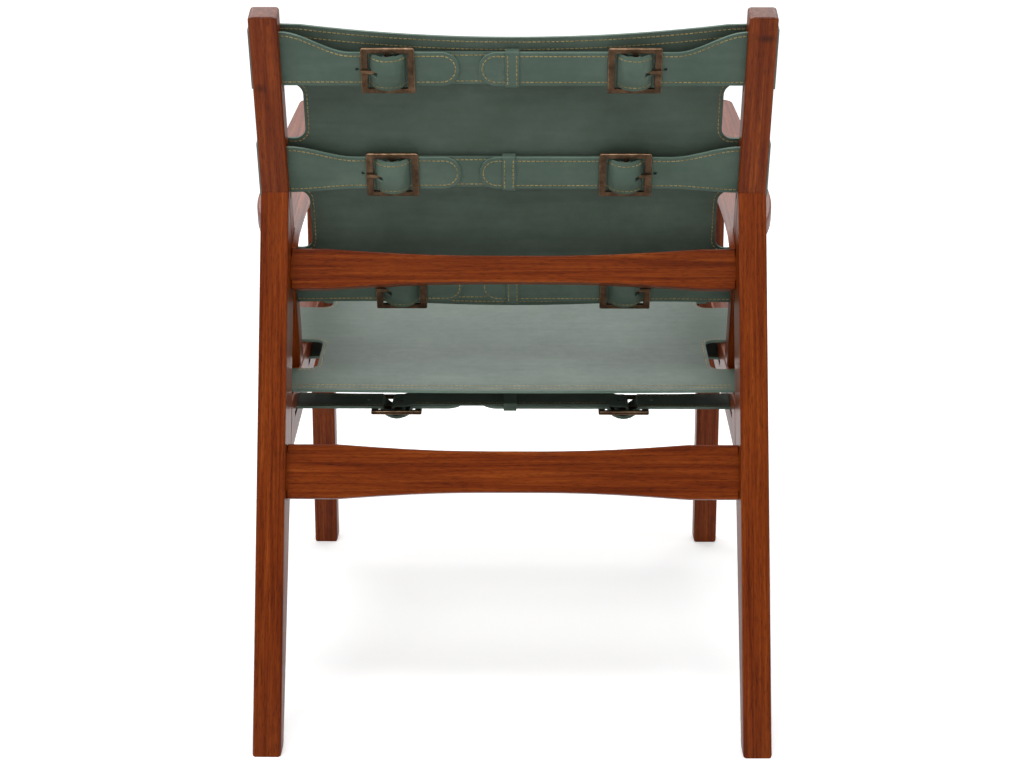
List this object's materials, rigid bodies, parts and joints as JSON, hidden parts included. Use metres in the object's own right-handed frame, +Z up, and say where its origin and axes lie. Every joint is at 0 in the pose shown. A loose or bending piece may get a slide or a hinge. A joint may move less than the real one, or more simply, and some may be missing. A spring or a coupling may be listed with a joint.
{
  "type": "lounge chair",
  "caption": "Wooden lounge chair with a reclined back, raked rear legs and flat arms; leather back and seat slings go round the frame and are drawn tight by buckled straps.",
  "frame": {"origin": "on the floor, under the middle of the chair", "axes": "+X to the sitter's left, +Y to the rear, +Z up"},
  "size_m": [0.618, 0.7778, 0.7987],
  "materials": {
    "wood": "red-brown hardwood under a satin lacquer",
    "leather": "dark green smooth hide with tan stitching",
    "bronze": "dark antique bronze, worn lighter on the edges"
  },
  "bodies": {
    "chair": {"rear_leg_left": "wood", "rear_leg_right": "wood", "back_post_left": "wood", "back_post_right": "wood", "side_rail_left": "wood", "side_rail_right": "wood", "front_leg_left": "wood", "front_leg_right": "wood", "arm_left": "wood", "arm_right": "wood", "back_rail": "wood", "lower_stretcher": "wood", "front_rail": "wood", "back_sling": "leather", "seat_sling": "leather", "back_low_strap": "leather", "back_middle_strap": "leather", "back_top_strap": "leather", "seat_front_strap": "leather", "seat_middle_strap": "leather", "seat_rear_strap": "leather", "back_low_buckle_left": "bronze", "back_low_buckle_right": "bronze", "back_middle_buckle_left": "bronze", "back_middle_buckle_right": "bronze", "back_top_buckle_left": "bronze", "back_top_buckle_right": "bronze", "seat_front_buckle_left": "bronze", "seat_front_buckle_right": "bronze", "seat_middle_buckle_left": "bronze", "seat_middle_buckle_right": "bronze", "seat_rear_buckle_left": "bronze", "seat_rear_buckle_right": "bronze"},
    "back_low_prong_left": {"back_low_prong_left": "bronze"},
    "back_low_prong_right": {"back_low_prong_right": "bronze"},
    "back_low_keeper": {"back_low_keeper": "leather"},
    "back_middle_prong_left": {"back_middle_prong_left": "bronze"},
    "back_middle_prong_right": {"back_middle_prong_right": "bronze"},
    "back_middle_keeper": {"back_middle_keeper": "leather"},
    "back_top_prong_left": {"back_top_prong_left": "bronze"},
    "back_top_prong_right": {"back_top_prong_right": "bronze"},
    "back_top_keeper": {"back_top_keeper": "leather"},
    "seat_front_prong_left": {"seat_front_prong_left": "bronze"},
    "seat_front_prong_right": {"seat_front_prong_right": "bronze"},
    "seat_front_keeper": {"seat_front_keeper": "leather"},
    "seat_middle_prong_left": {"seat_middle_prong_left": "bronze"},
    "seat_middle_prong_right": {"seat_middle_prong_right": "bronze"},
    "seat_middle_keeper": {"seat_middle_keeper": "leather"},
    "seat_rear_prong_left": {"seat_rear_prong_left": "bronze"},
    "seat_rear_prong_right": {"seat_rear_prong_right": "bronze"},
    "seat_rear_keeper": {"seat_rear_keeper": "leather"}
  },
  "joints": [
    {"name": "back_low_prong_left_lift", "type": "hinge", "parent": "chair", "child": "back_low_prong_left", "pos_m": [0.131, 0.10828, 0.46474], "axis": [0, 0.3322, 0.9432], "range_deg": [0, 20]},
    {"name": "back_low_prong_right_lift", "type": "hinge", "parent": "chair", "child": "back_low_prong_right", "pos_m": [-0.13, 0.10828, 0.46474], "axis": [0, -0.3322, -0.9432], "range_deg": [0, 20]},
    {"name": "back_low_keeper_slide", "type": "slide", "parent": "chair", "child": "back_low_keeper", "axis": [1, 0, 0], "range_m": [-0.0925, 0.029]},
    {"name": "back_middle_prong_left_lift", "type": "hinge", "parent": "chair", "child": "back_middle_prong_left", "pos_m": [0.136, 0.15844, 0.60717], "axis": [0, 0.3322, 0.9432], "range_deg": [0, 20]},
    {"name": "back_middle_prong_right_lift", "type": "hinge", "parent": "chair", "child": "back_middle_prong_right", "pos_m": [-0.126, 0.15844, 0.60717], "axis": [0, -0.3322, -0.9432], "range_deg": [0, 20]},
    {"name": "back_middle_keeper_slide", "type": "slide", "parent": "chair", "child": "back_middle_keeper", "axis": [1, 0, 0], "range_m": [-0.0925, 0.025]},
    {"name": "back_top_prong_left_lift", "type": "hinge", "parent": "chair", "child": "back_top_prong_left", "pos_m": [0.137, 0.20129, 0.72884], "axis": [0, 0.3322, 0.9432], "range_deg": [0, 20]},
    {"name": "back_top_prong_right_lift", "type": "hinge", "parent": "chair", "child": "back_top_prong_right", "pos_m": [-0.133, 0.20129, 0.72884], "axis": [0, -0.3322, -0.9432], "range_deg": [0, 20]},
    {"name": "back_top_keeper_slide", "type": "slide", "parent": "chair", "child": "back_top_keeper", "axis": [1, 0, 0], "range_m": [-0.0955, 0.029]},
    {"name": "seat_front_prong_left_lift", "type": "hinge", "parent": "chair", "child": "seat_front_prong_left", "pos_m": [0.136, -0.24849, 0.37055], "axis": [0, 0.9929, -0.1191], "range_deg": [0, 20]},
    {"name": "seat_front_prong_right_lift", "type": "hinge", "parent": "chair", "child": "seat_front_prong_right", "pos_m": [-0.132, -0.24849, 0.37055], "axis": [0, -0.9929, 0.1191], "range_deg": [0, 20]},
    {"name": "seat_front_keeper_slide", "type": "slide", "parent": "chair", "child": "seat_front_keeper", "axis": [1, 0, 0], "range_m": [-0.0935, 0.03]},
    {"name": "seat_middle_prong_left_lift", "type": "hinge", "parent": "chair", "child": "seat_middle_prong_left", "pos_m": [0.134, -0.06084, 0.34804], "axis": [0, 0.9929, -0.1191], "range_deg": [0, 20]},
    {"name": "seat_middle_prong_right_lift", "type": "hinge", "parent": "chair", "child": "seat_middle_prong_right", "pos_m": [-0.131, -0.06084, 0.34804], "axis": [0, -0.9929, 0.1191], "range_deg": [0, 20]},
    {"name": "seat_middle_keeper_slide", "type": "slide", "parent": "chair", "child": "seat_middle_keeper", "axis": [1, 0, 0], "range_m": [-0.0945, 0.028]},
    {"name": "seat_rear_prong_left_lift", "type": "hinge", "parent": "chair", "child": "seat_rear_prong_left", "pos_m": [0.137, 0.11788, 0.3266], "axis": [0, 0.9929, -0.1191], "range_deg": [0, 20]},
    {"name": "seat_rear_prong_right_lift", "type": "hinge", "parent": "chair", "child": "seat_rear_prong_right", "pos_m": [-0.129, 0.11788, 0.3266], "axis": [0, -0.9929, 0.1191], "range_deg": [0, 20]},
    {"name": "seat_rear_keeper_slide", "type": "slide", "parent": "chair", "child": "seat_rear_keeper", "axis": [1, 0, 0], "range_m": [-0.0945, 0.026]}
  ]
}
